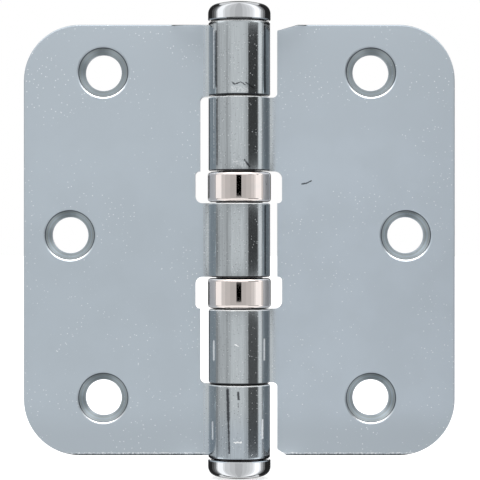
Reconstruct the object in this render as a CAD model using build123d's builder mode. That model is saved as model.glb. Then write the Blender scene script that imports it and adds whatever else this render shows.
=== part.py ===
"""Ball bearing butt hinge: two stamped sheet leaves rolled into five knuckles round one pin.

Units are millimetres. The pin stands along +Z with the origin at its middle. The hinge lies
open and flat: the jamb leaf reaches to -X, the door leaf to +X, and the countersunk faces
look to -Y. A thrust ball bearing sits between the second and third knuckle, and another
between the third and fourth, so the door's weight runs on balls and not on the knuckle ends.
"""

import os
from math import acos, asin, cos, degrees, radians, sin, sqrt

from build123d import *

# Leaves
sheet = 3.0
leaf_reach = 44.5
corner_radius = 11.5
closed_gap = 1.5
edge_roll = 0.25

# Barrel
pin_radius = 3.3
pin_clearance = 0.05
knuckle_length = 15.2
knuckle_gap = 0.25
knuckle_chamfer = 0.25
barrel_overrun = 0.4
swage_radius = 1.5
curl_seam = 0.25

# Notches that clear the other leaf's knuckles and the bearings
jamb_notch_clearance = 1.75
door_notch_clearance = 1.53
bearing_notch_step = 1.0
notch_corner = 1.0
bearing_notch_corner = 1.5
top_clip_width = 4.2
top_clip_height = 1.2
bottom_clip_width = 1.9
bottom_clip_height = 1.25

# Screw holes, countersunk at 90 degrees
screw_radius = 3.75
screw_sink_radius = 5.25
screw_sink_angle = 90.0
screw_sink_edge = 0.2
jamb_outer_screw_reach = 28.1
jamb_middle_screw_reach = 35.0
door_outer_screw_reach = 27.2
door_middle_screw_reach = 34.4
screw_pitch = 33.6
screw_rise = 1.0

# Thrust bearings
bearing_radius = 6.5
bearing_height = 6.4
bearing_float = 0.1
shell_wall = 0.6
shell_lip = 0.55
shell_inset = 0.1
shell_edge = 0.7
lip_reach = 1.0
running_clearance = 0.1
race_wall = 1.3
ball_radius = 0.8
ball_count = 8
groove_clearance = 0.03
race_spacing = 0.9
cage_thickness = 0.7
pocket_clearance = 0.05

# End caps and the pin inside the barrel
cap_radius = 6.45
cap_height = 4.3
cap_shoulder = 2.0
cap_crown_radius = 20.0
cap_foot_chamfer = 0.2
cap_groove_height = 0.3
cap_groove_depth = 0.9
spigot_length = 4.0
spigot_chamfer = 0.3
press_clearance = 0.01
pin_end_gap = 0.1
pin_chamfer = 0.4
knurl_count = 16
knurl_length = 7.0

# Barrel section and leaf planes
bore_radius = pin_radius + pin_clearance
barrel_radius = bore_radius + sheet
leaf_front = closed_gap / 2
leaf_back = leaf_front + sheet

# Heights up the barrel: the lower half is the mirror of the upper one
third_knuckle_top = knuckle_length / 2
bearing_bottom = third_knuckle_top + bearing_float
bearing_middle = bearing_bottom + bearing_height / 2
second_knuckle_bottom = bearing_bottom + bearing_height + bearing_float
second_knuckle_top = second_knuckle_bottom + knuckle_length
first_knuckle_bottom = second_knuckle_top + knuckle_gap
barrel_top = first_knuckle_bottom + knuckle_length
leaf_top = barrel_top - barrel_overrun

# The swaged neck: the sheet leaves the roll on a reverse bend and runs on as the flat leaf
roll_middle = bore_radius + sheet / 2
neck_middle = swage_radius + sheet / 2
neck_centre_y = leaf_back + swage_radius
neck_x = sqrt((roll_middle + neck_middle) ** 2 - neck_centre_y**2)
neck_angle = degrees(asin(neck_centre_y / (roll_middle + neck_middle)))
curl_end_angle = degrees(asin((leaf_front - curl_seam) / barrel_radius))
roll_angle = 360 - neck_angle + curl_end_angle


def on_circle(radius, angle):
    """Point at a radius from the pin's axis and an angle from +X, in degrees."""
    return radius * cos(radians(angle)), radius * sin(radians(angle))


# One knuckle of the door leaf, centred on the origin, in the true section of the rolled sheet
with BuildPart() as knuckle:
    with BuildSketch():
        with BuildLine():
            CenterArc((0, 0), barrel_radius, neck_angle, roll_angle)
            Line(on_circle(barrel_radius, curl_end_angle), on_circle(bore_radius, curl_end_angle))
            CenterArc((0, 0), bore_radius, neck_angle, roll_angle)
            CenterArc((neck_x, neck_centre_y), swage_radius + sheet, 180 + neck_angle, 90 - neck_angle)
            Line((neck_x, leaf_front), (neck_x, leaf_back))
            CenterArc((neck_x, neck_centre_y), swage_radius, 180 + neck_angle, 90 - neck_angle)
        make_face()
    extrude(amount=knuckle_length / 2, both=True)
    arcs = knuckle.edges().filter_by(GeomType.CIRCLE)
    chamfer(arcs.filter_by(lambda arc: abs(arc.radius - barrel_radius) < press_clearance), knuckle_chamfer)


def mirrored(corners):
    """The same corners below mid-height, in the order that closes the outline."""
    return [(x, -z, radius) for x, z, radius in reversed(corners)]


def make_leaf(side, corners, outer_screw_reach, middle_screw_reach, knuckle_heights):
    """A leaf on one side of the pin: its outline corners, how far out its screw holes are, and
    the middle height of each knuckle."""
    rolled = knuckle.part if side > 0 else mirror(knuckle.part, about=Plane.YZ)
    screws = [
        (outer_screw_reach, screw_rise + screw_pitch),
        (middle_screw_reach, screw_rise),
        (outer_screw_reach, screw_rise - screw_pitch),
    ]
    with BuildPart() as leaf:
        with BuildSketch(Plane.XZ.offset(-leaf_back)):
            with BuildLine():
                FilletPolyline(
                    [(side * x, z) for x, z, radius in corners],
                    radius=[radius for x, z, radius in corners],
                    close=True,
                )
            make_face()
        extrude(amount=sheet)

        # The punch rolls the front edge over along the leaf's outer sides
        deepest_notch = max(x for x, z, radius in corners if radius == bearing_notch_corner)
        front_edges = leaf.faces().sort_by(Axis.Y)[0].edges()
        fillet(front_edges.filter_by(lambda edge: abs(edge.center().X) > deepest_notch + edge_roll), edge_roll)

        with Locations([Plane((side * x, leaf_front, z), z_dir=(0, -1, 0)) for x, z in screws]):
            CounterSinkHole(screw_radius, screw_sink_radius, counter_sink_angle=screw_sink_angle)
        rims = leaf.edges().filter_by(GeomType.CIRCLE).filter_by(
            lambda rim: abs(rim.radius - screw_sink_radius) < press_clearance
        )
        chamfer(rims, screw_sink_edge)

        with Locations([(0, 0, height) for height in knuckle_heights]):
            add(rolled)
    return leaf.part


# Jamb leaf: knuckles one, three and five
jamb_notch = barrel_radius + jamb_notch_clearance
jamb_bearing_notch = jamb_notch + bearing_notch_step
step_corner = 0.9 * bearing_notch_step
jamb_corners = [
    (neck_x, third_knuckle_top, 0),
    (jamb_bearing_notch, third_knuckle_top, bearing_notch_corner),
    (jamb_bearing_notch, second_knuckle_bottom, step_corner),
    (jamb_notch, second_knuckle_bottom, 0),
    (jamb_notch, first_knuckle_bottom, notch_corner),
    (neck_x, first_knuckle_bottom, 0),
    (neck_x, leaf_top, 0),
    (leaf_reach, leaf_top, corner_radius),
]
first_knuckle_middle = first_knuckle_bottom + knuckle_length / 2
jamb_leaf = make_leaf(
    -1,
    jamb_corners + mirrored(jamb_corners),
    jamb_outer_screw_reach,
    jamb_middle_screw_reach,
    [first_knuckle_middle, 0, -first_knuckle_middle],
)
jamb_leaf.label = "jamb_leaf"


def door_half(clip_width, clip_height):
    """Corners of the door leaf above mid-height, with its inner corner clipped off."""
    door_notch = barrel_radius + door_notch_clearance
    door_bearing_notch = door_notch + bearing_notch_step
    return [
        (door_notch, third_knuckle_top, 0),
        (door_bearing_notch, third_knuckle_top, step_corner),
        (door_bearing_notch, second_knuckle_bottom, bearing_notch_corner),
        (neck_x, second_knuckle_bottom, 0),
        (neck_x, second_knuckle_top, 0),
        (door_notch, second_knuckle_top, notch_corner),
        (door_notch, leaf_top - clip_height, 0),
        (door_notch + clip_width, leaf_top, 0),
        (leaf_reach, leaf_top, corner_radius),
    ]


# Door leaf: knuckles two and four
door_corners = door_half(top_clip_width, top_clip_height)
door_corners += mirrored(door_half(bottom_clip_width, bottom_clip_height))
second_knuckle_middle = second_knuckle_bottom + knuckle_length / 2
door_leaf = make_leaf(
    1,
    door_corners,
    door_outer_screw_reach,
    door_middle_screw_reach,
    [second_knuckle_middle, -second_knuckle_middle],
)
door_leaf.label = "door_leaf"

# Pin: a plain ground rod, held by a knurled band in the top knuckle
spigot_bottom = barrel_top - spigot_length
pin_top = spigot_bottom - pin_end_gap
knurl_middle = (first_knuckle_bottom + pin_top) / 2
knurl_crest = bore_radius - press_clearance
with BuildPart() as pin:
    Cylinder(pin_radius, 2 * pin_top)
    chamfer(pin.edges().filter_by(GeomType.CIRCLE), pin_chamfer)
    with BuildSketch(Plane.XY.offset(knurl_middle - knurl_length / 2)):
        with PolarLocations(0, knurl_count):
            half_pitch = 180 / knurl_count
            Polygon(
                (0, 0),
                on_circle(pin_radius, -half_pitch / 2),
                (knurl_crest, 0),
                on_circle(pin_radius, half_pitch / 2),
                align=None,
            )
    extrude(amount=knurl_length)
pin.part.label = "pin"

# Top cap: a turned and chromed button with a spigot pressed into the end of the barrel
cap_top = barrel_top + cap_height
cap_foot = barrel_top + cap_groove_height
seat_radius = cap_radius - cap_groove_depth
crown_centre_z = cap_top - cap_crown_radius
crown_end_angle = degrees(acos(cap_radius / cap_crown_radius))
with BuildPart() as top_cap:
    with BuildSketch(Plane.XZ) as cap_section:
        with BuildLine():
            crown = CenterArc((0, crown_centre_z), cap_crown_radius, crown_end_angle, 90 - crown_end_angle)
            Polyline(
                crown @ 1,
                (0, spigot_bottom),
                (bore_radius - press_clearance, spigot_bottom),
                (bore_radius - press_clearance, barrel_top),
                (seat_radius, barrel_top),
                (seat_radius, cap_foot),
                (cap_radius, cap_foot),
                crown @ 0,
            )
        make_face()
        rim = cap_section.vertices().group_by(Axis.X)[-1].sort_by(Axis.Y)
        fillet(rim[1], cap_shoulder)
        foot = cap_section.vertices().group_by(Axis.X)[-1].sort_by(Axis.Y)
        chamfer(foot[0], cap_foot_chamfer)
        spigot_end = cap_section.vertices().group_by(Axis.Y)[0].sort_by(Axis.X)
        chamfer(spigot_end[1], spigot_chamfer)
    revolve(axis=Axis.Z)
top_cap.part.label = "top_cap"

# Bottom cap: the same button, upside down
with BuildPart() as bottom_cap:
    mirror(top_cap.part, about=Plane.XY)
bottom_cap.part.label = "bottom_cap"

# Sizes shared by the pieces of a thrust bearing, measured from its middle
half_height = bearing_height / 2
shell_half = half_height - shell_inset
shell_bore = bearing_radius - shell_wall
lip_radius = shell_bore - lip_reach
hub_radius = lip_radius - running_clearance
flange_radius = shell_bore - running_clearance
flange_top = shell_half - shell_lip - running_clearance
race_bore = hub_radius - race_wall
ball_pitch_radius = (race_bore + flange_radius) / 2
groove_radius = ball_radius + groove_clearance


def make_race(middle, way):
    """Washer with a ball groove, and a hub that stands out through the shell: way is +1 for up."""
    with BuildPart() as race:
        with BuildSketch(Plane.XZ):
            with BuildLine():
                Polyline(
                    (race_bore, middle + way * race_spacing / 2),
                    (flange_radius, middle + way * race_spacing / 2),
                    (flange_radius, middle + way * flange_top),
                    (hub_radius, middle + way * flange_top),
                    (hub_radius, middle + way * half_height),
                    (race_bore, middle + way * half_height),
                    close=True,
                )
            make_face()
            with Locations((ball_pitch_radius, middle)):
                Circle(groove_radius, mode=Mode.SUBTRACT)
        revolve(axis=Axis.Z)
    return race.part


def make_shell(middle):
    """Ring that wraps the bearing, with a lip turned in at each end over the races."""
    with BuildPart() as shell:
        with BuildSketch(Plane.XZ) as section:
            with Locations((lip_radius, middle)):
                Rectangle(bearing_radius - lip_radius, 2 * shell_half, align=(Align.MIN, Align.CENTER))
            fillet(section.vertices().group_by(Axis.X)[-1], shell_edge)
            with Locations((lip_radius, middle)):
                Rectangle(
                    lip_reach,
                    2 * (shell_half - shell_lip),
                    align=(Align.MIN, Align.CENTER),
                    mode=Mode.SUBTRACT,
                )
        revolve(axis=Axis.Z)
    return shell.part


def make_cage(middle):
    """Flat ring that keeps the balls apart, with a round pocket for each."""
    with BuildPart() as cage:
        with BuildSketch(Plane.XY.offset(middle - cage_thickness / 2)):
            Circle(flange_radius - running_clearance)
            Circle(race_bore + running_clearance, mode=Mode.SUBTRACT)
            with PolarLocations(ball_pitch_radius, ball_count):
                Circle(ball_radius + pocket_clearance, mode=Mode.SUBTRACT)
        extrude(amount=cage_thickness)
    return cage.part


def make_ball(middle, number):
    """One ball in its pocket, counted round from +X."""
    x, y = on_circle(ball_pitch_radius, number * 360 / ball_count)
    with BuildPart(Plane((x, y, middle))) as ball:
        Sphere(ball_radius)
    return ball.part


pieces = [jamb_leaf, door_leaf, pin.part, top_cap.part, bottom_cap.part]
for bearing, middle in {"upper": bearing_middle, "lower": -bearing_middle}.items():
    bearing_pieces = {
        "bearing_shell": make_shell(middle),
        "top_race": make_race(middle, 1),
        "bottom_race": make_race(middle, -1),
        "ball_cage": make_cage(middle),
    }
    for number in range(ball_count):
        bearing_pieces[f"ball_{number + 1:02d}"] = make_ball(middle, number)
    for name, piece in bearing_pieces.items():
        piece.label = f"{bearing}_{name}"
        pieces.append(piece)

os.makedirs("parts", exist_ok=True)
for piece in pieces:
    export_step(piece, f"parts/{piece.label}.step")
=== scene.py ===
# %% [markdown]
# # A ball bearing hinge, dressed and lit
#
# The shapes of this hinge come finished from a CAD model. Blender gives them their metal: zinc on
# the two leaves, chrome on the caps, nickel on the bearing rings, and bare steel and brass inside.
# The first cell loads that model. Its parts are never moved or reshaped here, and each one gets a
# procedural material that is made below from nodes.

# %% Load the model
import math

import bpy
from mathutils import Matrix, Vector


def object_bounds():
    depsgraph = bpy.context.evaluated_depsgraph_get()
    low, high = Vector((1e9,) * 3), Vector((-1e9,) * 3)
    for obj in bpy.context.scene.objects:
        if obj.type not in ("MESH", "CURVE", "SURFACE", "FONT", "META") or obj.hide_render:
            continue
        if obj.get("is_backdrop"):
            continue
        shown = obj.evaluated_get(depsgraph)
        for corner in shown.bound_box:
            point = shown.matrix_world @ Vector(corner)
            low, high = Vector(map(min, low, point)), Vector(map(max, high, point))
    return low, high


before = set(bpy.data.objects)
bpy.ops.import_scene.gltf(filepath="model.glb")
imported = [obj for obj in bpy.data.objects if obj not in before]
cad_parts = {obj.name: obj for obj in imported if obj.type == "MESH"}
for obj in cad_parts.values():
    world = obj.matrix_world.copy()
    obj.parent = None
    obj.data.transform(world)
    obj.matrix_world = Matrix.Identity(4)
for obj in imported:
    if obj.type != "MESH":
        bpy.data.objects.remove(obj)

MM = 0.001
cad_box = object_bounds()
cad_size = cad_box[1] - cad_box[0]
print("parts loaded:", len(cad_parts))
print("size in mm:", [round(side / MM, 2) for side in cad_size])

# %% [markdown]
# ## The camera
#
# The hinge is seen straight on, a little under half a metre away. A camera that stands so near
# shows perspective: the top and bottom of the barrel are seen slightly from the side. A camera
# without perspective would be simpler to frame, but it would draw every joint of the barrel as a
# straight line. So this one has a long lens and stands at the measured distance. Depth of field
# stays off.

# %% Camera
CAMERA_PLACE = Vector((0.14, -440.0, 0.0)) * MM
LENS = 160.1             # mm
SENSOR = 36.0            # mm across
NEAREST_SEEN = 0.01      # metres from the camera

bpy.ops.object.select_all(action="DESELECT")
bpy.ops.object.camera_add(location=CAMERA_PLACE, rotation=(math.pi / 2, 0, 0))
camera = bpy.context.object
camera.name = "camera"
camera.data.lens = LENS
camera.data.sensor_width = SENSOR
camera.data.clip_start = NEAREST_SEEN
bpy.context.scene.camera = camera
frame_width = SENSOR / LENS * -CAMERA_PLACE.y
print("the picture is", round(frame_width / MM, 1), "mm wide at the hinge")

# %% [markdown]
# ## Plain arithmetic for shader nodes
#
# A procedural material is arithmetic on coordinates, and each step of it is a node. Written by
# hand that is one line to add a node and two more to link it. So a small class wraps a socket and
# overloads Python's operators: `1 - mask * 0.3` then adds the Math nodes by itself, and the
# formula can be read. Colours and vectors have nodes of their own, because a Math node would turn
# a colour grey.

# %% A socket that knows arithmetic
class Signal:
    """One output socket of a material's node, for use in expressions."""

    def __init__(self, finish, socket):
        self.finish = finish
        self.socket = socket

    def __add__(self, other):
        return self.finish.math("ADD", self, other)

    def __sub__(self, other):
        return self.finish.math("SUBTRACT", self, other)

    def __rsub__(self, other):
        return self.finish.math("SUBTRACT", other, self)

    def __mul__(self, other):
        return self.finish.math("MULTIPLY", self, other)

    def __truediv__(self, other):
        return self.finish.math("DIVIDE", self, other)

    def __rtruediv__(self, other):
        return self.finish.math("DIVIDE", other, self)

    def __pow__(self, other):
        return self.finish.math("POWER", self, other)

    def __rpow__(self, other):
        return self.finish.math("POWER", other, self)

    def __abs__(self):
        return self.finish.math("ABSOLUTE", self)

    __radd__ = __add__
    __rmul__ = __mul__


print("sockets can now be added, subtracted, multiplied, divided and raised to a power")

# %% [markdown]
# ## One finish, one material
#
# Each metal below is a Principled shader with a few nodes in front of it. The class here makes
# the material. One method adds any node from its type, its settings and its sockets, and the
# others are short names for the nodes that are used most: arithmetic on numbers and on vectors.

# %% The finish class
class Finish:
    """A material made of nodes, with a Principled shader at its end."""

    def __init__(self, name, **constants):
        self.material = bpy.data.materials.new(name)
        self.material.use_nodes = True
        self.tree = self.material.node_tree
        self.shader = self.tree.nodes["Principled BSDF"]
        for words, value in constants.items():
            self.shader.inputs[words.replace("_", " ").title()].default_value = value

    def node(self, kind, settings=None, sockets=None, output=0):
        """Adds a node, sets it up, and gives one of its outputs."""
        made = self.tree.nodes.new(kind)
        for name, value in (settings or {}).items():
            setattr(made, name, value)
        for key, value in (sockets or {}).items():
            if isinstance(value, Signal):
                self.tree.links.new(value.socket, made.inputs[key])
            else:
                made.inputs[key].default_value = value
        return Signal(self, made.outputs[output])

    def feed(self, **signals):
        """Links signals to sockets of the shader, as in base_color=colour."""
        for words, signal in signals.items():
            socket = self.shader.inputs[words.replace("_", " ").title()]
            self.tree.links.new(signal.socket, socket)

    def math(self, operation, first, second=0.0):
        return self.node("ShaderNodeMath", {"operation": operation}, {0: first, 1: second})

    def vector(self, operation, first, second, output="Vector"):
        return self.node(
            "ShaderNodeVectorMath", {"operation": operation}, {0: first, 1: second}, output
        )

    def scale(self, vector, factor):
        """A vector times a number."""
        return self.node(
            "ShaderNodeVectorMath", {"operation": "SCALE"}, {0: vector, "Scale": factor}
        )

    def length(self, vector):
        return self.vector("LENGTH", vector, (0, 0, 0), output="Value")

    def axes(self, vector):
        """The x, y and z of a vector, as three numbers."""
        split = self.node("ShaderNodeSeparateXYZ", sockets={0: vector}).socket.node
        return [Signal(self, socket) for socket in split.outputs]


print("the finish class is ready")

# %% [markdown]
# ## Steps that all the metals share
#
# Real metal is cloudy, grained, pitted and worn, and each of these depends on the place. An image
# texture could hold them, but it has to be painted and unwrapped, and it blurs close up. So they
# are worked out from the place of a point on its part, in millimetres, and from noise of a given
# grain size. Object coordinates give that place. A pattern is then as large as it is on the real
# metal, and it stays on its part when the hinge swings.

# %% The metal finish class
MIDDLE_GREY = (0.5, 0.5, 0.5)
SHAKE_IN_DEPTH = 0.2     # of the shake to the side and up


class MetalFinish(Finish):
    """A finish with steps for patterns on metal. Lengths are in millimetres."""

    def place(self):
        """The place on the part."""
        metres = self.node("ShaderNodeTexCoord", output="Object")
        return self.scale(metres, 1 / MM)

    def upward(self):
        """How far the surface faces up, from -1 to 1. The hinge turns about an upright pin."""
        normal = self.node("ShaderNodeNewGeometry", output="True Normal")
        return self.axes(normal)[2]

    def stretch(self, place, factors):
        """A place for noise that is drawn out along each axis whose factor is below 1."""
        return self.vector("MULTIPLY", place, factors)

    def ragged(self, place, grain, reach):
        """The place, shaken by noise up to about half of reach, and less so in depth."""
        shaken = self.node(
            "ShaderNodeTexNoise", sockets={"Vector": place, "Scale": 1 / grain}, output="Color"
        )
        centred = self.vector("SUBTRACT", shaken, MIDDLE_GREY)
        shift = self.vector("MULTIPLY", centred, (reach, reach * SHAKE_IN_DEPTH, reach))
        return self.vector("ADD", place, shift)

    def noise(self, place, grain, detail=2.0, roughness=0.5):
        """Cloudy noise from 0 to 1. Its blobs are about as large as grain."""
        return self.node(
            "ShaderNodeTexNoise",
            sockets={
                "Vector": place,
                "Scale": 1 / grain,
                "Detail": detail,
                "Roughness": roughness,
            },
        )

    def specks(self, place, spacing):
        """The distance to the nearest of many scattered points, in spacings."""
        return self.node(
            "ShaderNodeTexVoronoi",
            {"feature": "F1"},
            {"Vector": place, "Scale": 1 / spacing},
            output="Distance",
        )

    def clamp(self, signal):
        """The same number, held between 0 and 1."""
        return self.node("ShaderNodeClamp", sockets={"Value": signal})

    def ease(self, signal, start, end):
        """Goes smoothly from 0 at start to 1 at end."""
        return self.node(
            "ShaderNodeMapRange",
            {"interpolation_type": "SMOOTHSTEP"},
            {"Value": signal, "From Min": start, "From Max": end},
        )

    def fade(self, signal, start, end):
        """Goes smoothly from 1 at start to 0 at end."""
        return 1 - self.ease(signal, start, end)

    def blend(self, factor, first, second):
        """A colour between the first, at factor 0, and the second, at factor 1."""
        return self.node(
            "ShaderNodeMix", {"data_type": "RGBA"}, {0: factor, 6: first, 7: second}, output=2
        )

    def bump(self, height, depth, below=None):
        """Bumps as deep as depth where height goes from 0 to 1."""
        sockets = {"Height": height, "Distance": depth * MM, "Strength": 1.0}
        if below is not None:
            sockets["Normal"] = below
        return self.node("ShaderNodeBump", sockets=sockets)


print("the metal finish class is ready")

# %% [markdown]
# ## Zinc plate on rolled sheet
#
# The leaves are steel sheet with a thin coat of zinc. On the flat it is an even, cool grey with
# clouds so faint that they only show side by side, and a scatter of tiny bright crystals. Where
# the sheet was rolled round the pin, the rolls burnished the coat, so the knuckles mirror their
# surroundings, and they carry the fine streaks, pits and scuffs of the tools. One material does
# both, because it is one sheet: the distance from the pin's axis says where on it a point is. The
# coat is painted darker towards the top of the flat and the foot of the sheet, as painted shade.

# %% Zinc: where on the sheet
FLAT_ZINC = {
    "jamb_leaf": (0.455, 0.515, 0.568, 1.0),
    "door_leaf": (0.474, 0.536, 0.596, 1.0),
}
KNUCKLE_ZINC = (0.466, 0.504, 0.525, 1.0)
# Darker zinc, for the clouds and for the painted shade at the top of the flat and the foot of the
# sheet.
ZINC_CLOUD_AND_SHADE = (0.405, 0.455, 0.500, 1.0)
KNUCKLE_END = 6.45       # mm from the pin's axis, just outside the knuckles
FLAT_START = 8.0         # mm from the pin's axis, where the sheet is flat
KNUCKLE_RIM = 6.16       # mm from the pin's axis, inside the bright rim of a knuckle
RIM_BLUR = 0.08          # mm
FOOT_SHADE = (-33.0, -41.0)   # mm up the pin, where the painted shade at the foot of the sheet starts and is full
TOP_SHADE = (10, 42)      # mm up the pin, where the painted shade at the top of the flat starts and is full
FOOT_SHADE_COVER = 0.85        # how much of the foot's colour is the painted shade


def sheet_masks(finish, x, y):
    """Masks of the knuckles and of the faces inside them, where grease and grime sit."""
    from_pin = (x * x + y * y) ** 0.5
    on_knuckle = finish.fade(from_pin, KNUCKLE_END, FLAT_START)
    inside = finish.fade(from_pin, KNUCKLE_RIM - RIM_BLUR, KNUCKLE_RIM)
    return on_knuckle, inside


def sheet_colour(finish, leaf, z, on_knuckle):
    """The colour of the coat, with painted shade at the foot of the sheet and the top of the flat,
    before clouds, crystals and marks.
    """
    colour = finish.blend(on_knuckle, FLAT_ZINC[leaf], KNUCKLE_ZINC)
    # Painted shade: the foot of the sheet and the top of the flat are darker.
    colour = finish.blend(finish.ease(z, *FOOT_SHADE) * FOOT_SHADE_COVER, colour, ZINC_CLOUD_AND_SHADE)
    top_shading = finish.ease(z, *TOP_SHADE) * (1 - on_knuckle)
    return finish.blend(top_shading, colour, ZINC_CLOUD_AND_SHADE)


print("knuckles end", KNUCKLE_END, "mm from the pin's axis, and the flat starts at", FLAT_START)

# %% [markdown]
# The clouds are noise about a centimetre across. The crystals are scattered points, and on the
# flat a second noise lets only small groups of them through. On the knuckles they are pits that
# the rolls have opened: each one is rough, so it catches light even where the metal round it
# mirrors something dark. Between them are closed pits, which are dark.

# %% Zinc: clouds and crystals
ZINC_BRIGHT = (0.76, 0.79, 0.81, 1.0)
PIT_DARK = (0.12, 0.13, 0.14, 1.0)
CLOUD_SIZE = 9.0         # mm
CLOUD_NOISE = (0.35, 0.65)   # noise where a cloud starts and is full
CLOUD_COVER = 0.25
GROUP_SIZE = 12.0        # mm, of a group of crystals
GROUP_NOISE = (0.45, 0.56)
CRYSTAL_SPACING = 0.85   # mm
CRYSTAL_DOT = (0.09, 0.17)   # in spacings from its middle, where a crystal fades and ends
CRYSTAL_COVER = 0.9
OPEN_PIT_SPACING = 0.66      # mm
OPEN_PIT_DOT = (0.07, 0.17)
OPEN_PIT_COVER = 0.8
CLOSED_PIT_SPACING = 0.58    # mm
CLOSED_PIT_DOT = (0.07, 0.18)
CLOSED_PIT_COVER = 0.7


def clouds_and_crystals(finish, place, on_knuckle, colour):
    """The colour with clouds, crystals and pits on it, and a mask of the open pits."""
    on_flat = 1 - on_knuckle
    clouds = finish.noise(place, grain=CLOUD_SIZE, detail=3.0)
    cloudy = finish.ease(clouds, *CLOUD_NOISE) * CLOUD_COVER * on_flat
    colour = finish.blend(cloudy, colour, ZINC_CLOUD_AND_SHADE)
    groups = finish.ease(finish.noise(place, grain=GROUP_SIZE), *GROUP_NOISE)
    crystals = finish.fade(finish.specks(place, CRYSTAL_SPACING), *CRYSTAL_DOT)
    open_pits = finish.fade(finish.specks(place, OPEN_PIT_SPACING), *OPEN_PIT_DOT)
    closed_pits = finish.fade(finish.specks(place, CLOSED_PIT_SPACING), *CLOSED_PIT_DOT)
    pits = open_pits * on_knuckle
    colour = finish.blend(closed_pits * on_knuckle * CLOSED_PIT_COVER, colour, PIT_DARK)
    bright_dots = crystals * groups * on_flat * CRYSTAL_COVER + pits * OPEN_PIT_COVER
    return finish.blend(bright_dots, colour, ZINC_BRIGHT), pits


in_a_centimetre = 10 / CRYSTAL_SPACING
dots = 2 * CRYSTAL_DOT[1] * in_a_centimetre**2
print("crystals in a square centimetre of a group: about", round(dots))

# %% [markdown]
# A scratch is a short line at a place of its own. It could be painted, but a line needs only its
# two ends and half of its width, all in millimetres. For a point on the metal, the nearest point
# of the line and the distance to it come from a dot product, and a little noise in the place
# makes the line ragged. The same lines draw more than scratches. The short sloping dark marks are
# scratches that hold dirt. The upright dark lines and the small dark marks on the knuckles are
# painted reflections and painted shade, and the bright lines are painted glints and highlights.
# Scuffs are broad patches of fine wear.

# %% Zinc: where the scratches are
FRONT = -6.3             # y of the front of a knuckle in mm
FLAT = 0.75              # y of the front of the flat sheet in mm
DARK_MARKS_AND_REFLECTIONS = {
    "jamb_leaf": [
        ((-1.9, FRONT, 32.3), (-0.9, FRONT, 31.7), 0.14),
        ((-0.9, FRONT, 31.7), (0.3, FRONT, 32.1), 0.12),
        ((0.3, FRONT, 32.1), (1.3, FRONT, 31.5), 0.10),
        ((1.3, FRONT, 32.0), (3.0, -5.6, 30.9), 0.12),
        # Painted reflection: the ragged dark edge of a reflection down the lowest knuckle.
        ((-2.4, -5.9, -30.5), (-2.2, -5.9, -36.5), 0.30),
        ((-2.2, -5.9, -36.5), (-2.0, -5.9, -43.4), 0.20),
        # Painted reflection: small dark marks in the middle of the lowest knuckle, where a camera is
        # mirrored.
        ((-0.25, FRONT, -31.0), (-0.15, FRONT, -32.3), 0.24),
        ((-0.20, FRONT, -33.2), (-0.20, FRONT, -34.0), 0.07),
        # Painted reflection: a dark upright line on the left of the top knuckle.
        ((-4.75, -4.2, 42.6), (-4.70, -4.2, 31.4), 0.20),
        # Painted shade: dark upright lines on the right of two knuckles, by the leaf.
        ((5.20, -3.6, 43.6), (5.25, -3.6, 30.4), 0.34),
        ((5.30, -3.5, 6.9), (5.30, -3.5, -6.9), 0.26),
    ],
    "door_leaf": [
        ((1.1, FRONT, 16.3), (2.1, -6.0, 14.9), 0.14),
        ((12.95, FLAT, 11.60), (13.9, FLAT, 11.75), 0.14),
        ((13.9, FLAT, 11.75), (14.8, FLAT, 12.20), 0.14),
        # Painted reflection: a dark upright line on the left of a knuckle.
        ((-4.60, -4.4, 28.8), (-4.50, -4.4, 15.4), 0.12),
    ],
}
PAINTED_GLINTS = {
    "jamb_leaf": [
        # Painted highlight: a short bright dash in the middle of the lowest knuckle.
        ((-1.0, FRONT, -41.15), (0.5, FRONT, -41.15), 0.13),
        # Painted glints: bright upright lines on the sides of the knuckles.
        ((-5.50, -3.15, -37.4), (-5.45, -3.2, -40.6), 0.30),
        ((4.75, -4.2, -36.8), (4.70, -4.2, -40.4), 0.24),
        ((-5.25, -3.6, 43.0), (-5.20, -3.6, 31.0), 0.13),
    ],
    "door_leaf": [
        # Painted glints: bright upright lines on the sides of the knuckles.
        ((-5.20, -3.6, 28.8), (-5.10, -3.6, 15.4), 0.10),
        ((-5.20, -3.6, -20.8), (-5.25, -3.6, -24.4), 0.32),
        ((5.10, -3.75, -20.4), (5.10, -3.75, -24.4), 0.26),
        # Painted highlight: a short bright dash on the front of a knuckle.
        ((-0.9, FRONT, -21.3), (-0.2, FRONT, -21.6), 0.12),
    ],
}
SCUFFS = {
    "jamb_leaf": [((-1.4, FRONT, 30.8), (1.5, FRONT, 30.5), 0.55)],
    "door_leaf": [((-1.0, FRONT, 16.0), (1.0, FRONT, 15.2), 0.50)],
}

for words, marks in (("dark", DARK_MARKS_AND_REFLECTIONS), ("bright", PAINTED_GLINTS), ("scuffed", SCUFFS)):
    print(words, "marks:", {leaf: len(lines) for leaf, lines in marks.items()})

# %% Zinc: how a scratch is drawn
FULL_TO = 0.5            # half widths from the middle of a mark
GONE_AT = 1.5


def mark(finish, place, start, end, half_width):
    """1 on a line from start to end, in mm, and 0 away from it."""
    along = Vector(end) - Vector(start)
    from_start = finish.vector("SUBTRACT", place, tuple(start))
    how_far = finish.vector("DOT_PRODUCT", from_start, tuple(along), output="Value")
    how_far = finish.clamp(how_far / along.length_squared)
    nearest = finish.scale(tuple(along), how_far)
    distance = finish.length(finish.vector("SUBTRACT", from_start, nearest))
    return finish.fade(distance, half_width * FULL_TO, half_width * GONE_AT)


def all_marks(finish, place, lines):
    """The strongest of several marks at each point."""
    strongest = mark(finish, place, *lines[0])
    for line in lines[1:]:
        strongest = finish.math("MAXIMUM", strongest, mark(finish, place, *line))
    return strongest


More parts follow.
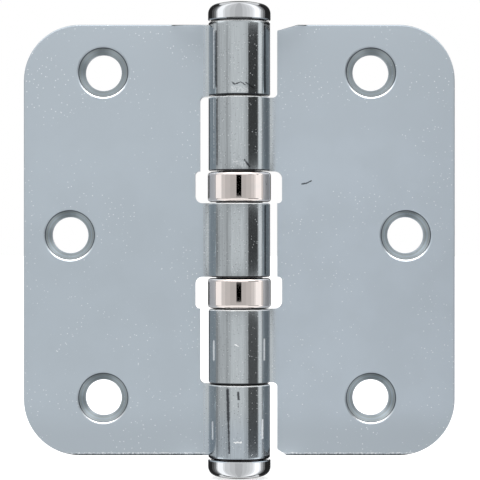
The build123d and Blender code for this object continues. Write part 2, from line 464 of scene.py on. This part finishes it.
longest = max(
    (Vector(end) - Vector(start)).length
    for marks in (DARK_MARKS_AND_REFLECTIONS, PAINTED_GLINTS, SCUFFS)
    for lines in marks.values()
    for start, end, half_width in lines
)
print("the longest mark is", round(longest, 1), "mm long")

# %% [markdown]
# Around each screw hole the sheet was sunk with a cutter, which leaves fine rings on the cone and a
# narrow rim. A dark line of painted shade runs round the cone's edge. All of them are made from the
# distance to the axis of the nearest hole, so each hole is round by itself. The masks stop short of
# the back of the sheet, which was never cut.

# %% Zinc: the screw holes
HOLES = {
    "jamb_leaf": [(-28.1, 34.6), (-35.0, 1.0), (-28.1, -32.6)],
    "door_leaf": [(27.2, 34.6), (34.4, 1.0), (27.2, -32.6)],
}
CUT_TO = (3.45, 3.65)    # y in mm near the back of the sheet, where the cutter's marks fade and end
CONE_EDGE = 5.12         # mm from the hole's middle, where the cone meets its rim
CONE_BLUR = 0.1          # mm
RIM_EDGE = 5.36          # mm from the hole's middle, where the rim meets the flat
RIM_STARTS_OVER = 0.05   # mm
RIM_ENDS_OVER = 0.08     # mm
LINE_AT = CONE_EDGE - 0.04   # mm from the hole's middle, where the line of painted shade lies
LINE_HALF = (0.05, 0.17)     # mm to each side, where the line fades and ends
RINGS_PER_MM = 3.2
RING_WOBBLE = 0.6        # how far the rings wander, in rings
WOBBLE_STRETCH = (0.25, 0.25, 0.25)


def hole_distance(finish, place, holes):
    """The distance from the axis of the nearest screw hole, in mm."""
    nearest = None
    for across, up in holes:
        off = finish.vector("SUBTRACT", place, (across, 0, up))
        distance = finish.length(finish.vector("MULTIPLY", off, (1, 0, 1)))
        nearest = distance if nearest is None else finish.math("MINIMUM", nearest, distance)
    return nearest


def hole_masks(finish, y, from_hole):
    """Masks of the cones, of their rims and of the line of painted shade between the two."""
    cut = finish.fade(y, *CUT_TO)
    in_cone = finish.fade(from_hole, CONE_EDGE - CONE_BLUR, CONE_EDGE) * cut
    outside_cone = finish.ease(from_hole, CONE_EDGE - RIM_STARTS_OVER, CONE_EDGE) * cut
    on_rim = outside_cone * finish.fade(from_hole, RIM_EDGE, RIM_EDGE + RIM_ENDS_OVER)
    # The dark line is painted shade, all round the cone's edge.
    rim_shade_line = finish.fade(abs(from_hole - LINE_AT), *LINE_HALF) * cut
    return in_cone, on_rim, rim_shade_line


def cutter_rings(finish, place, from_hole):
    """Fine rings round each hole, from 0 to 1, which wobble a little."""
    wobble = finish.noise(finish.stretch(place, WOBBLE_STRETCH), grain=1.0) * RING_WOBBLE
    return finish.node(
        "ShaderNodeTexNoise",
        {"noise_dimensions": "1D"},
        {"W": from_hole * RINGS_PER_MM + wobble, "Scale": 1.0, "Detail": 3.0},
    )


print("screw holes, across and up from the pin's middle in mm:", HOLES)

# %% [markdown]
# Light and shade that follow the form of the part are painted here. What faces up gets a painted
# highlight: the upper rims of the knuckles and the lower rim of each screw hole. What faces down on
# a knuckle gets painted shade. A thin line of painted shade runs along the bottom edge of each leaf,
# with a broken line of painted highlight above it. The height and the direction of the surface say
# where these are, and neither changes when the hinge swings about its upright pin.

# %% Zinc: painted highlights and shade
# The colour of the painted highlights and painted glints.
PAINTED_HIGHLIGHT = (0.93, 0.95, 0.96, 1.0)
LEAF_TOP = 44.45         # mm up the pin
EDGE_FROM = (44.15, 44.25)   # mm up or down the pin, where the smooth edge starts and is full
FRONT_TO = (1.05, 1.25)  # y in mm, just behind the flat's front, where its marks fade and end
RIM_FACING = (0.3, 0.6)  # how far a knuckle's rim faces up, where its painted highlight starts and is full; as far down, its painted shade
ARC_FACING = (0.12, 0.40)    # the same for the rim of a screw hole
ARC_FADE = 0.10          # mm inside the rim's outer edge, over which its painted highlight thins out
ARC_THINNED = 0.75       # how much of the painted highlight is gone at that edge
BOTTOM_SHADE_TOP = (0.20, 0.38)  # mm above the bottom edge, where the painted shade fades and ends
BOTTOM_HIGHLIGHT_UP = 0.48      # mm above the bottom edge
BOTTOM_HIGHLIGHT_HALF = (0.05, 0.16)    # mm to each side, where the painted highlight line fades and ends


def painted_rim_light(finish, from_hole, on_knuckle, on_rim):
    """Masks of the painted highlight on upper rims, the painted shade on lower rims and the painted
    highlight arc under each screw hole.
    """
    upward = finish.upward()
    start, full = RIM_FACING
    lit_upper_rims = finish.ease(upward, start, full) * on_knuckle
    shaded_lower_rims = finish.ease(upward, -start, -full) * on_knuckle
    thinned = finish.ease(from_hole, RIM_EDGE - ARC_FADE, RIM_EDGE) * ARC_THINNED
    lit_arc = finish.ease(upward, *ARC_FACING) * on_rim * (1 - thinned)
    return lit_upper_rims, shaded_lower_rims, lit_arc


def edge_masks(finish, y, z, ragged, on_knuckle, mottled):
    """Masks of the polished edges of the flat, and of the line of painted shade along its bottom
    with a line of painted highlight above it.
    """
    on_front = finish.fade(y, *FRONT_TO) * (1 - on_knuckle)
    edges = finish.ease(abs(z), *EDGE_FROM) * on_front
    from_bottom = finish.axes(ragged)[2] + LEAF_TOP
    shaded_bottom_line = finish.fade(from_bottom, *BOTTOM_SHADE_TOP) * on_front
    lit_bottom_line = finish.fade(abs(from_bottom - BOTTOM_HIGHLIGHT_UP), *BOTTOM_HIGHLIGHT_HALF)
    return edges, shaded_bottom_line, lit_bottom_line * on_front * mottled


print("the bottom highlight line lies", round(LEAF_TOP - BOTTOM_HIGHLIGHT_UP, 2), "mm below the middle of the leaf")

# %% [markdown]
# Now the leaf's finish is put together, layer over layer: the coat, the cut cones, the marks, the
# edges with their painted shade and highlight, the painted highlights of the rims, and grime last,
# on the end faces and in the bores of the knuckles, with painted shade on their lower rims. Along
# the knuckles run fine streaks, which are noise that is stretched along the pin. The coat's own fine
# grain is a bump that is a few thousandths of a millimetre deep.

# %% Zinc: how strong each layer is
# Dark for scratches and streaks, and for painted shade and painted reflections.
SCRATCH_AND_SHADE_DARK = (0.030, 0.034, 0.042, 1.0)
# Dark for grime in the joints and for the painted shade on the knuckles' lower rims.
GRIME_AND_SHADE = (0.016, 0.017, 0.020, 1.0)
CONE_ZINC = (0.400, 0.440, 0.445, 1.0)
COVER = {
    "rim shade line": 0.85,
    "streaks": 0.09,
    "painted glints": 0.95,
    "scuffs": 0.5,
    "dark marks and reflections": 0.9,
    "bottom shade line": 0.85,
    "bottom highlight line": 0.6,
    "shaded lower rims": 0.95,
}
ROUGHNESS = {
    "flat": 0.36,
    "rolled smoother": 0.30,
    "grain rougher": 0.05,
    "pits and highlights rougher": 0.45,
    "arc smoother": 0.24,
    "edge smoother": 0.22,
}
DEPTH = {"rings": 0.012, "streaks": 0.0016, "grain": 0.0028}     # mm
ROLLED_GRAIN = 0.75      # how much of the grain the rolls have flattened
GRAIN_SIZE = 0.22        # mm
RING_NOISE = (0.3, 0.7)  # noise where the shade of a ring starts and is full
STREAK_STRETCH = (1.0, 1.0, 0.07)
STREAK_WIDTH = 0.30      # mm
STREAK_NOISE = (0.30, 0.70)
RAGGED_GRAIN = 0.35      # mm
RAGGED_REACH = 0.45      # mm
MOTTLE_SIZE = 0.35       # mm
MOTTLE_NOISE = (0.38, 0.62)

print("layers over the coat:", list(COVER))

# %% Zinc: the whole finish
def zinc_plate(leaf):
    """The finish of one leaf, from the bores of its knuckles to its outer edge."""
    finish = MetalFinish("zinc plate " + leaf.replace("_", " "), metallic=1.0)
    place = finish.place()
    x, y, z = finish.axes(place)
    on_knuckle, inside = sheet_masks(finish, x, y)
    colour = sheet_colour(finish, leaf, z, on_knuckle)
    colour, pits = clouds_and_crystals(finish, place, on_knuckle, colour)

    from_hole = hole_distance(finish, place, HOLES[leaf])
    in_cone, on_rim, rim_shade_line = hole_masks(finish, y, from_hole)
    rings = cutter_rings(finish, place, from_hole)
    colour = finish.blend(in_cone * finish.ease(rings, *RING_NOISE), colour, CONE_ZINC)
    # Painted shade: a dark line at the edge of each cone.
    colour = finish.blend(rim_shade_line * COVER["rim shade line"], colour, SCRATCH_AND_SHADE_DARK)

    ragged = finish.ragged(place, RAGGED_GRAIN, RAGGED_REACH)
    streaks = finish.noise(finish.stretch(place, STREAK_STRETCH), STREAK_WIDTH, detail=3.0)
    dark = all_marks(finish, ragged, DARK_MARKS_AND_REFLECTIONS[leaf])
    bright = all_marks(finish, ragged, PAINTED_GLINTS[leaf])
    mottled = finish.ease(finish.noise(place, MOTTLE_SIZE, detail=3.0), *MOTTLE_NOISE)
    scuffed = all_marks(finish, place, SCUFFS[leaf]) * mottled
    streaked = finish.ease(streaks, *STREAK_NOISE) * on_knuckle
    colour = finish.blend(streaked * COVER["streaks"], colour, SCRATCH_AND_SHADE_DARK)
    # Painted glints and highlights on the knuckles.
    colour = finish.blend(bright * COVER["painted glints"], colour, PAINTED_HIGHLIGHT)
    colour = finish.blend(scuffed * COVER["scuffs"], colour, ZINC_BRIGHT)
    # Dark marks: short sloping scratches, and painted reflections and painted shade on the knuckles.
    colour = finish.blend(dark * COVER["dark marks and reflections"], colour, SCRATCH_AND_SHADE_DARK)

    lit_upper_rims, shaded_lower_rims, lit_arc = painted_rim_light(finish, from_hole, on_knuckle, on_rim)
    edges, shaded_bottom_line, lit_bottom_line = edge_masks(finish, y, z, ragged, on_knuckle, mottled)
    # Painted shade along the bottom edge, and a painted highlight line above it.
    colour = finish.blend(shaded_bottom_line * COVER["bottom shade line"], colour, SCRATCH_AND_SHADE_DARK)
    colour = finish.blend(lit_bottom_line * COVER["bottom highlight line"], colour, PAINTED_HIGHLIGHT)
    # Painted highlights: the upper rims of the knuckles and an arc under each screw hole.
    colour = finish.blend(lit_upper_rims, colour, PAINTED_HIGHLIGHT)
    colour = finish.blend(lit_arc, colour, PAINTED_HIGHLIGHT)
    # Grime in the joints and bores, and painted shade on the lower rims of the knuckles.
    grime_and_shade = finish.math("MAXIMUM", inside, shaded_lower_rims * COVER["shaded lower rims"])
    colour = finish.blend(grime_and_shade, colour, GRIME_AND_SHADE)

    grain = finish.noise(place, GRAIN_SIZE, detail=4.0, roughness=0.6)
    roughness = ROUGHNESS["flat"] - on_knuckle * ROUGHNESS["rolled smoother"]
    roughness = roughness + grain * ROUGHNESS["grain rougher"]
    roughness = roughness + (pits + bright + lit_upper_rims) * ROUGHNESS["pits and highlights rougher"]
    roughness = roughness - lit_arc * ROUGHNESS["arc smoother"]
    roughness = roughness - edges * ROUGHNESS["edge smoother"]
    normal = finish.bump(rings * in_cone, DEPTH["rings"])
    normal = finish.bump(streaks * on_knuckle, DEPTH["streaks"], below=normal)
    normal = finish.bump(grain * (1 - on_knuckle * ROLLED_GRAIN), DEPTH["grain"], below=normal)
    finish.feed(base_color=colour, roughness=roughness, normal=normal)
    return finish.material


leaf_finishes = {leaf: zinc_plate(leaf) for leaf in FLAT_ZINC}
for leaf, material in leaf_finishes.items():
    print("zinc plate of the", leaf.replace("_", " "), "has", len(material.node_tree.nodes), "nodes")

# %% [markdown]
# ## Polished nickel, chrome and bare steel
#
# The bearing rings are polished nickel, which is a little warm. The caps are chromed, which is
# neutral. Neither is a perfect mirror: both have fine marks round them from polishing on a lathe,
# and a haze that dulls the shine in places. The marks are noise that is stretched round the axis
# by leaving only its height along the pin fine. Old grease blackens what lies deep in a joint, and
# what faces down is darkened as painted shade, but neither reaches the crowns of the caps. The pin,
# the races, the balls and the cages inside are made by the same function with other values.

# %% Turned metals
GREASE_AND_SHADE_BLACK = (0.012, 0.012, 0.013, 1.0)
GREASE_AND_SHADE_COVER = 0.96
GREASE_AND_SHADE_END = 45.6        # mm from the middle of the barrel, beyond which the caps get neither grease nor painted shade
SHADE_FACING = (-0.70, -0.90)   # how far down a face looks, where its painted shade starts and is full
GREASE_BLUR = 0.1        # mm
MARKS_STRETCH = (0.12, 0.12, 1.0)
MARKS_GRAIN = 0.09       # mm
HAZE_SIZE = 2.6          # mm
HAZE_NOISE = (0.42, 0.72)
HAZE_COVER = 0.5
HAZE_ROUGHER = 0.6       # of the finish's own roughness
MARKS_ROUGHER = 0.4


def turned_metal(name, colour, haze_colour, roughness, marks_depth, greased_to=0.0):
    """A finish for pieces turned round the pin's axis. Given a radius in mm, it is black with grease
    up to that radius and has painted shade where it faces down.
    """
    finish = MetalFinish(name, metallic=1.0)
    place = finish.place()
    x, y, z = finish.axes(place)
    from_pin = (x * x + y * y) ** 0.5
    marks = finish.noise(finish.stretch(place, MARKS_STRETCH), grain=MARKS_GRAIN, detail=3.0)
    haze = finish.ease(finish.noise(place, grain=HAZE_SIZE, detail=3.0), *HAZE_NOISE)
    shade = finish.blend(haze * HAZE_COVER, colour, haze_colour)
    if greased_to:
        deep = finish.fade(from_pin, greased_to - GREASE_BLUR, greased_to)
        # Painted shade: faces that look down are darkened, as well as the grease deep in a joint.
        shaded_underside = finish.ease(finish.upward(), *SHADE_FACING)
        in_joint = finish.fade(abs(z), GREASE_AND_SHADE_END, GREASE_AND_SHADE_END + GREASE_BLUR)
        joint_grease_and_shade = finish.math("MAXIMUM", deep, shaded_underside) * in_joint
        shade = finish.blend(joint_grease_and_shade * GREASE_AND_SHADE_COVER, shade, GREASE_AND_SHADE_BLACK)
    finish.feed(
        base_color=shade,
        roughness=roughness * (1 + haze * HAZE_ROUGHER + marks * MARKS_ROUGHER),
        normal=finish.bump(marks, marks_depth),
    )
    return finish.material


print("grease ends", GREASE_AND_SHADE_END, "mm from the middle of the barrel")

# %% Six turned finishes
turned_finishes = {
    "bearing_nickel": turned_metal(
        "polished nickel", (0.93, 0.85, 0.815, 1), (0.86, 0.815, 0.79, 1),
        roughness=0.018, marks_depth=0.00005, greased_to=6.15,
    ),
    "cap_chrome": turned_metal(
        "polished chrome", (0.55, 0.565, 0.585, 1), (0.50, 0.515, 0.53, 1),
        roughness=0.05, marks_depth=0.0004, greased_to=5.8,
    ),
    "pin_steel": turned_metal(
        "drawn steel pin", (0.22, 0.21, 0.20, 1), (0.12, 0.12, 0.11, 1),
        roughness=0.24, marks_depth=0.0012, greased_to=3.0,
    ),
    "race_steel": turned_metal(
        "ground race steel", (0.53, 0.52, 0.50, 1), (0.44, 0.43, 0.41, 1),
        roughness=0.16, marks_depth=0.0010, greased_to=6.1,
    ),
    "ball_steel": turned_metal(
        "lapped ball steel", (0.58, 0.58, 0.58, 1), (0.52, 0.52, 0.53, 1),
        roughness=0.04, marks_depth=0.0001,
    ),
    "cage_brass": turned_metal(
        "stamped brass", (0.72, 0.52, 0.22, 1), (0.55, 0.38, 0.16, 1),
        roughness=0.20, marks_depth=0.0012,
    ),
}
print("turned metals:", sorted(turned_finishes))

# %% [markdown]
# ## Each part gets its finish
#
# The model names the finish of each part in the material that it was loaded with. That name picks
# the procedural material, and the part's shape isn't touched. Picking by the name of the part
# would work too, but the eight balls of a bearing would then need eight lines.

# %% Finishes on parts
finishes = {**leaf_finishes, **turned_finishes}
for name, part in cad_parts.items():
    for material_slot in part.material_slots:
        material_slot.material = finishes[material_slot.material.name.split(".")[0]]
    print(name, "->", part.material_slots[0].material.name)

# %% [markdown]
# ## The floor
#
# The hinge stands on its lower cap on a plain white floor. The floor is a broad sheet that runs
# out of sight, so it needs no wall behind it. A little light of its own lifts it to white, and
# the hinge's soft shadow still darkens it. More lamps would whiten it too, but they would wash out
# the metal. Reflections see the white surround in place of the floor.

# %% Floor
FLOOR_SIZE = 12.0        # metres
FLOOR_GAP = 0.02 * MM
FLOOR_WHITE = (0.86, 0.86, 0.86, 1)
FLOOR_GLOW = 0.50
MATT = 0.9               # roughness


def plain_material(name, colour, glow):
    """A flat colour with light of its own, for the floor and for cards, not for the hinge."""
    finish = Finish(name, base_color=colour, roughness=MATT)
    finish.shader.inputs["Specular IOR Level"].default_value = 0.0
    finish.shader.inputs["Emission Color"].default_value = (1, 1, 1, 1)
    finish.shader.inputs["Emission Strength"].default_value = glow
    return finish.material


bpy.ops.object.select_all(action="DESELECT")
bpy.ops.mesh.primitive_plane_add(size=FLOOR_SIZE, location=(0, 0, cad_box[0].z - FLOOR_GAP))
floor = bpy.context.object
floor.name = "floor"
floor.data.materials.append(plain_material("white floor", FLOOR_WHITE, FLOOR_GLOW))
floor.visible_glossy = False
floor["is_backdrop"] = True
print("the floor lies at", round(floor.location.z / MM, 2), "mm")

# %% [markdown]
# ## Surround and lamp
#
# The light is soft and comes from all sides, as in a white tent. A white world gives it, which is
# one step where a ring of lamps would be many. A world alone leaves almost no shadow, so a broad
# lamp above and in front of the hinge makes a soft one. The metal doesn't mirror the lamp: the
# cards below say what it mirrors.

# %% Surround and lamp
WHITE = (1, 1, 1, 1)
LAMP_PLACE = Vector((-0.06, -0.42, 0.50))
LAMP_SIZE = (0.50, 0.30)     # metres
LAMP_POWER = 1.6             # watts

world = bpy.data.worlds.new("white surround")
world.use_nodes = True
world.node_tree.nodes["Background"].inputs["Color"].default_value = WHITE
world.node_tree.nodes["Background"].inputs["Strength"].default_value = 1.0
bpy.context.scene.world = world

bpy.ops.object.light_add(type="AREA", location=LAMP_PLACE)
lamp = bpy.context.object
lamp.name = "soft lamp"
lamp.rotation_euler = (-LAMP_PLACE).to_track_quat("-Z", "Y").to_euler()
lamp.data.shape = "RECTANGLE"
lamp.data.size, lamp.data.size_y = LAMP_SIZE
lamp.data.energy = LAMP_POWER
lamp.visible_glossy = False
lamp_height = math.degrees(math.atan2(LAMP_PLACE.z, -LAMP_PLACE.y))
print("the lamp hangs", round(lamp_height), "degrees up")

# %% [markdown]
# ## Cards for the metal to reflect
#
# Polished metal has almost no look of its own: it shows what stands round it. A photographer
# stands strips of white and black card round a chromed part for that reason. A round barrel
# mirrors each card as an upright stripe. The cards here stand round the pin, and only reflections
# see them, so they neither hide the hinge nor shade the floor. Painting the stripes on the metal
# would be quicker, but they would turn with it and look wrong from every other side.
#
# It is easiest to say where on the barrel a stripe shows, as the angle that the metal faces there,
# and to work out the place of its card. A mirror that turns by an angle turns the reflection by
# twice that. Near cards need a small correction, because the reflection starts at the barrel's
# surface and not at its axis.

# %% Where a card stands
BARREL = 6.4             # mm, the radius of the barrel
CARDS_AWAY = 200.0       # mm from the pin


def card_angle(facing, distance):
    """The angle of a card round the pin, in degrees, for a stripe where the metal faces facing."""
    turn = math.radians(facing)
    return math.degrees(2 * turn - math.asin(BARREL / distance * math.sin(turn)))


def stripe_light(angle, stripes, distance):
    """The light of the stripe whose card covers an angle, or None between the stripes."""
    for start, end, light in stripes:
        if card_angle(start, distance) <= angle < card_angle(end, distance):
            return light
    return None


for facing in (10, 30, 60):
    card = round(card_angle(facing, CARDS_AWAY), 1)
    print("metal facing", facing, "degrees mirrors a card at", card)

# %% [markdown]
# A band of cards is one tall cylinder round the pin: each of its upright faces gets the light of
# its stripe, and faces between stripes are cut out. That takes fewer steps than a card for each
# stripe, and the cards join without gaps. A ball cut in the same way makes the hood over a cap and
# the wide cards above and below. All start as Blender's primitives and are cut in edit mode.

# %% Cutting cards
card_materials = {}


def card_material(light):
    """The material of all cards of one light. Cards shine, but they light nothing directly."""
    if light not in card_materials:
        material = plain_material(f"card of light {light:g}", (0, 0, 0, 1), light)
        material.cycles.emission_sampling = "NONE"
        card_materials[light] = material
    return card_materials[light]


def cut_into_cards(card, name, light_of_face):
    """Keeps the faces that light_of_face gives a light, and gives them that light."""
    card.name = name
    mesh = card.data
    slots = {}
    bpy.ops.object.mode_set(mode="EDIT")
    bpy.ops.mesh.select_mode(type="FACE")
    bpy.ops.mesh.select_all(action="DESELECT")
    bpy.ops.object.mode_set(mode="OBJECT")
    for face in mesh.polygons:
        light = light_of_face(face.center + card.location)
        face.select = light is None
        if light is not None:
            if light not in slots:
                slots[light] = len(slots)
                mesh.materials.append(card_material(light))
            face.material_index = slots[light]
    bpy.ops.object.mode_set(mode="EDIT")
    bpy.ops.mesh.delete(type="FACE")
    bpy.ops.object.mode_set(mode="OBJECT")
    card.visible_camera = False
    card.visible_diffuse = False
    card.visible_shadow = False
    card.visible_transmission = False
    card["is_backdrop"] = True
    print(name, "has", len(mesh.polygons), "faces in", len(slots), "lights")


# %% Bands of cards
BAND_FACES = 240         # round the whole cylinder


def band(name, bottom, top, stripes, distance):
    """Cards whose reflections lie between two heights on the barrel. All lengths are in mm."""
    taller = 1 + distance * MM / -CAMERA_PLACE.y
    middle, height = (bottom + top) / 2 * taller, (top - bottom) * taller
    bpy.ops.object.select_all(action="DESELECT")
    bpy.ops.mesh.primitive_cylinder_add(
        vertices=BAND_FACES, radius=distance * MM, depth=height * MM, end_fill_type="NOTHING",
        location=(0, 0, middle * MM),
    )
    cut_into_cards(
        bpy.context.object,
        name,
        lambda at: stripe_light(math.degrees(math.atan2(at.x, -at.y)), stripes, distance),
    )


print("each face of a band covers", 360 / BAND_FACES, "degrees")

# %% [markdown]
# The knuckles and the rings are both round, but the polished rings mirror fewer and broader
# stripes. So each of the two has a table of its own. A row of a table is where a stripe starts and
# ends, in degrees from the front of the barrel, and its light. Between the rows the white surround
# shows. The outermost rows are dark, because the barrel and the rings are outlined in dark against
# the floor.
#
# The knuckles at the bottom mirror paler darks and duller lights than those at the top. One tall
# band would give all of them the same contrast, so each band has its least light and a gain for
# the rest. The short black card in front stands for a camera, which the rings mirror as a dark
# block.

# %% Cards for the knuckles and rings
CAMERA_MARK_AWAY = 190.0     # mm from the pin
KNUCKLE_STRIPES = [
    (-87, -80, 0.20), (-75, -55, 0.55), (-55, -49, 0.75), (-49, -43.5, 0.38),
    (-43.5, -39, 0.62), (-39, -25.5, 0.74), (-25.5, -21.5, 0.60), (-21.5, -16, 0.76),
    (8.5, 12.5, 0.82), (12.5, 17.0, 0.66), (17.0, 35.7, 0.07), (35.7, 38.2, 0.32),
    (38.2, 46.5, 1.12), (46.5, 52, 0.50), (52, 75, 0.06), (77, 87, 0.03),
]
RING_STRIPES = [
    (-87, -77, 0.0), (-51, -48.2, 0.12), (-48.2, -34.3, 0.99), (-34.3, -27, 0.63),
    (-27, -17, 0.53), (-17, 12, 0.475), (12, 22, 0.53), (22, 28, 0.63), (28, 31, 0.79),
    (31, 44, 1.02), (44, 48.2, 0.62), (48.2, 51, 0.30), (77, 87, 0.0),
]
CAMERA_MARK = [(-5.4, 3.6, 0.0)]
KNUCKLE_BANDS = [        # bottom, top, least light, gain
    (29.4, 44.6, 0.0, 1.12), (14.2, 29.4, 0.01, 1.05), (-7.6, 7.6, 0.01, 1.02),
    (-44.6, -14.2, 0.07, 0.95),
]
RING_BANDS = [(7.6, 14.2), (-14.2, -7.6)]
CAMERA_MARK_BANDS = [(8.8, 13.3), (-12.5, -8.5)]

for bottom, top, least, gain in KNUCKLE_BANDS:
    stripes = [(start, end, least + light * gain) for start, end, light in KNUCKLE_STRIPES]
    band("knuckle cards", bottom, top, stripes, CARDS_AWAY)
for bottom, top in RING_BANDS:
    band("ring cards", bottom, top, RING_STRIPES, CARDS_AWAY)
for bottom, top in CAMERA_MARK_BANDS:
    band("camera mark card", bottom, top, CAMERA_MARK, CAMERA_MARK_AWAY)

# %% [markdown]
# A cap is domed, so it mirrors what stands above it and beside it at once. A band can't reach over
# it, and a hood does: part of a small ball round the cap, with upright stripes that run together
# over its top. The hood is open towards the barrel, and its dark stripes stop short of the top, so
# that the crown mirrors the white surround there. A dim card stands behind the cap. From the front
# only the cap's outline mirrors it, and from above the far edge of the crown does too. The lower
# cap has the same hood upside down.

# %% Hoods for the caps
CAP_STRIPES = [
    (-80, -60, 0.03), (-60, -52, 0.12), (-52, -47.5, 0.30), (-47.5, -44.5, 0.90),
    (-44.5, -31, 1.70), (-31, -26.5, 1.25), (-26.5, -17, 1.03), (-17, -8, 0.90), (-8, 6, 0.76),
    (6, 13, 0.92), (13, 20, 1.05), (20, 25, 1.20), (25, 29, 1.45), (29, 39.5, 1.85),
    (39.5, 43, 1.30), (43, 49, 0.60), (49, 55, 0.25), (55, 80, 0.03),
]
HOOD_AWAY = 14.0         # mm from the middle of the hood
HOOD_MIDDLE = 45.2       # mm from the middle of the barrel
HOOD_TOP = 52            # degrees up that the dark cards of a hood reach
HOOD_DARK = 0.5          # light below which a card of a hood is one of the dark ones
HOOD_BACK = 0.15         # light of the card behind a cap, which darkens its outline
HOOD_BACK_TOP = 44       # degrees up that the card behind a cap reaches
BALL_SEGMENTS = 120
BALL_RINGS = 36


def hood_light(azimuth, height):
    """The light of a hood in one direction, seen from the cap, or None where the hood is open."""
    light = stripe_light(azimuth, CAP_STRIPES, HOOD_AWAY)
    if light is None:
        light = HOOD_BACK if height < HOOD_BACK_TOP else None
    elif light < HOOD_DARK and height > HOOD_TOP:
        light = None
    return light if height > 0 else None


def ball_cards(name, middle, away, light_of_direction):
    """Cards on a ball round a point on the pin's axis. light_of_direction gets azimuth and height
    in degrees, seen from that point."""

    def light_of_face(at):
        at = at - Vector((0, 0, middle * MM))
        azimuth = math.degrees(math.atan2(at.x, -at.y))
        return light_of_direction(azimuth, math.degrees(math.asin(at.z / at.length)))

    bpy.ops.object.select_all(action="DESELECT")
    bpy.ops.mesh.primitive_uv_sphere_add(
        segments=BALL_SEGMENTS, ring_count=BALL_RINGS, radius=away * MM,
        location=(0, 0, middle * MM),
    )
    cut_into_cards(bpy.context.object, name, light_of_face)


for side in (1, -1):
    ball_cards(
        "cap hood", side * HOOD_MIDDLE, HOOD_AWAY,
        lambda azimuth, height: hood_light(azimuth, side * height),
    )

# %% [markdown]
# Two wide cards stand farther out, on a ball round the whole hinge. The one above and in front is
# brighter than the surround, and what tilts up a little mirrors it. The one below is almost black,
# and what faces down mirrors it. Neither needs stripes, so each is one patch that starts or ends
# at a height.

# %% Wide cards above and below
WIDE_AWAY = 350.0        # mm from the middle of the hinge
WIDE_HALF = 65           # degrees to each side of the front
ABOVE_LIGHT = 2.8
ABOVE_FROM, ABOVE_TO = 30.5, 62      # degrees up
BELOW_LIGHT = 0.04
BELOW_TO = -62           # degrees up


def light_above(azimuth, height):
    """The light of the wide card above in one direction, or None beside the card."""
    on_card = ABOVE_FROM < height < ABOVE_TO and abs(azimuth) < WIDE_HALF
    return ABOVE_LIGHT if on_card else None


def light_below(azimuth, height):
    """The light of the wide card below, which goes all the way round."""
    return BELOW_LIGHT if height < BELOW_TO else None


ball_cards("wide card above", 0, WIDE_AWAY, light_above)
ball_cards("wide card below", 0, WIDE_AWAY, light_below)
print("all cards together have", len(card_materials), "lights")

# %% [markdown]
# ## Measure and finish
#
# The plain view transform shows a colour about as it is written above. The box round the dressed
# hinge is measured against the box of the model that was loaded, and how far a corner has moved is
# printed. The two have to be equal, because finishes and light add nothing to the size.

# %% Finish
bpy.context.scene.view_settings.view_transform = "Standard"
visual_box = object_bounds()
growth = max((visual_box[end] - cad_box[end]).length for end in (0, 1))
print("a corner of the box has moved by", round(growth / MM, 3), "mm at most")
